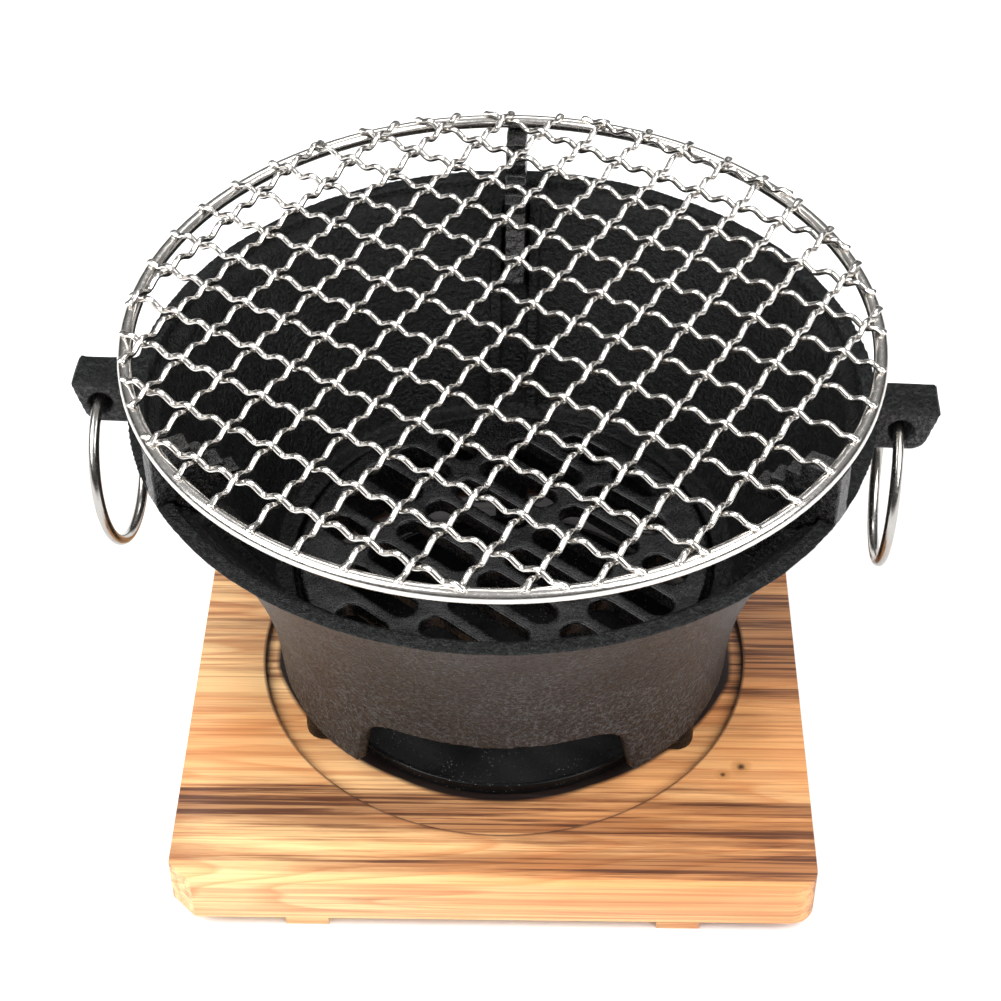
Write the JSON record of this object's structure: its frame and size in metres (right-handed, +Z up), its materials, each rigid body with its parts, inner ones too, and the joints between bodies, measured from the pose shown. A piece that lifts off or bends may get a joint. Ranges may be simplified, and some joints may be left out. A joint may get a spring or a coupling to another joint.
{
  "type": "hibachi grill",
  "caption": "Round cast tabletop charcoal grill with a flared bowl, crimped wire net on stepped supports, ring handles, ash tray and a wooden stand.",
  "frame": {"origin": "middle of the assembly's box on the surface that the battens stand on", "axes": "+Z up along the bowl's axis, +X to the lug on the right, -Y to the ash door at the front"},
  "size_m": [0.2776, 0.24, 0.1742],
  "materials": {
    "wood": "planed pale wood with scorched streaks",
    "nail_steel": "bright wire nails",
    "cast_iron_satin": "sand-cast, satin heat-proof paint",
    "tray_gloss": "pressed sheet, gloss black",
    "cast_iron_grate": "cast, worn glossy on the slot edges",
    "cast_iron_support": "rough cast, worn on the treads",
    "ring_steel": "satin stainless wire",
    "net_steel": "bright drawn stainless wire"
  },
  "bodies": {
    "stand": {"board": "wood", "batten_left": "wood", "batten_right": "wood", "batten_nails": "nail_steel"},
    "stove": {"stove_body": "cast_iron_satin"},
    "tray": {"ash_tray": "tray_gloss"},
    "grate": {"charcoal_grate": "cast_iron_grate"},
    "support_rear": {"support_rear": "cast_iron_support"},
    "support_left": {"support_left": "cast_iron_support"},
    "support_right": {"support_right": "cast_iron_support"},
    "ring_left": {"handle_ring_left": "ring_steel"},
    "ring_right": {"handle_ring_right": "ring_steel"},
    "net": {"net_ring": "net_steel", "net_wire_a_01": "net_steel", "net_wire_a_02": "net_steel", "net_wire_a_03": "net_steel", "net_wire_a_04": "net_steel", "net_wire_a_05": "net_steel", "net_wire_a_06": "net_steel", "net_wire_a_07": "net_steel", "net_wire_a_08": "net_steel", "net_wire_a_09": "net_steel", "net_wire_a_10": "net_steel", "net_wire_a_11": "net_steel", "net_wire_a_12": "net_steel", "net_wire_a_13": "net_steel", "net_wire_a_14": "net_steel", "net_wire_b_01": "net_steel", "net_wire_b_02": "net_steel", "net_wire_b_03": "net_steel", "net_wire_b_04": "net_steel", "net_wire_b_05": "net_steel", "net_wire_b_06": "net_steel", "net_wire_b_07": "net_steel", "net_wire_b_08": "net_steel", "net_wire_b_09": "net_steel", "net_wire_b_10": "net_steel", "net_wire_b_11": "net_steel", "net_wire_b_12": "net_steel", "net_wire_b_13": "net_steel", "net_wire_b_14": "net_steel"}
  },
  "joints": [
    {"name": "stove_lift", "type": "slide", "parent": "stand", "child": "stove", "axis": [0, 0, 1], "range_m": [0, 0.12]},
    {"name": "tray_lift", "type": "slide", "parent": "stand", "child": "tray", "axis": [0, 0, 1], "range_m": [0, 0.048]},
    {"name": "net_lift", "type": "slide", "parent": "stove", "child": "net", "axis": [0, 0, 1], "range_m": [0, 0.16]},
    {"name": "grate_lift", "type": "slide", "parent": "stove", "child": "grate", "axis": [0, 0, 1], "range_m": [0, 0.112]},
    {"name": "support_rear_lift", "type": "slide", "parent": "stove", "child": "support_rear", "axis": [0, 0, 1], "range_m": [0, 0.048]},
    {"name": "support_left_lift", "type": "slide", "parent": "stove", "child": "support_left", "axis": [0, 0, 1], "range_m": [0, 0.048]},
    {"name": "support_right_lift", "type": "slide", "parent": "stove", "child": "support_right", "axis": [0, 0, 1], "range_m": [0, 0.048]},
    {"name": "ring_left_swing", "type": "hinge", "parent": "stove", "child": "ring_left", "pos_m": [-0.1305, 0, 0.138], "axis": [0.0384, 0.9993, 0], "range_deg": [-20, 165]},
    {"name": "ring_right_swing", "type": "hinge", "parent": "stove", "child": "ring_right", "pos_m": [0.1267, 0, 0.138], "axis": [-0.0471, -0.9989, 0], "range_deg": [-24, 165]}
  ],
  "couplings": [
    {"joint": "tray_lift", "follows": "stove_lift", "ratio": 0.4},
    {"joint": "grate_lift", "follows": "net_lift", "ratio": 0.7},
    {"joint": "support_rear_lift", "follows": "net_lift", "ratio": 0.3},
    {"joint": "support_left_lift", "follows": "net_lift", "ratio": 0.3},
    {"joint": "support_right_lift", "follows": "net_lift", "ratio": 0.3}
  ]
}
